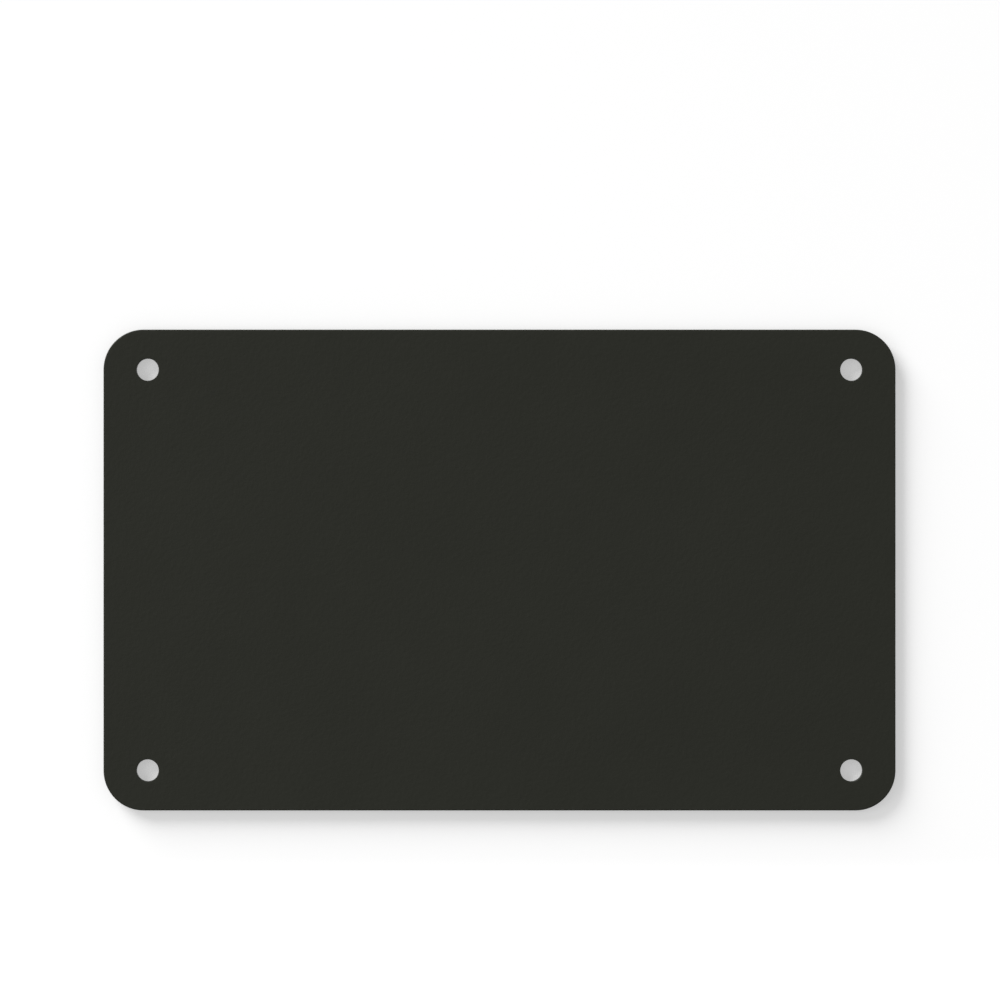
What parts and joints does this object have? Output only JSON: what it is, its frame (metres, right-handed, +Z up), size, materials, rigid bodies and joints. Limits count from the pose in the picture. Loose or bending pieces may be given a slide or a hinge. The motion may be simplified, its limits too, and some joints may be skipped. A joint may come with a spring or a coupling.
{
  "type": "kick plate",
  "caption": "Flat rectangular kick plate with rounded corners and an open screw hole near each corner, powder-coated matte near-black.",
  "frame": {"origin": "centre of the back face, the face that lies against the door", "axes": "the plate stands as it is fixed: +X along its width, to the right for someone facing its front; +Y out of its back face, into the door; +Z up"},
  "size_m": [0.251, 0.003, 0.1524],
  "materials": {
    "powder_coat": "matte"
  },
  "bodies": {
    "root": {"kick_plate": "powder_coat"}
  },
  "joints": []
}
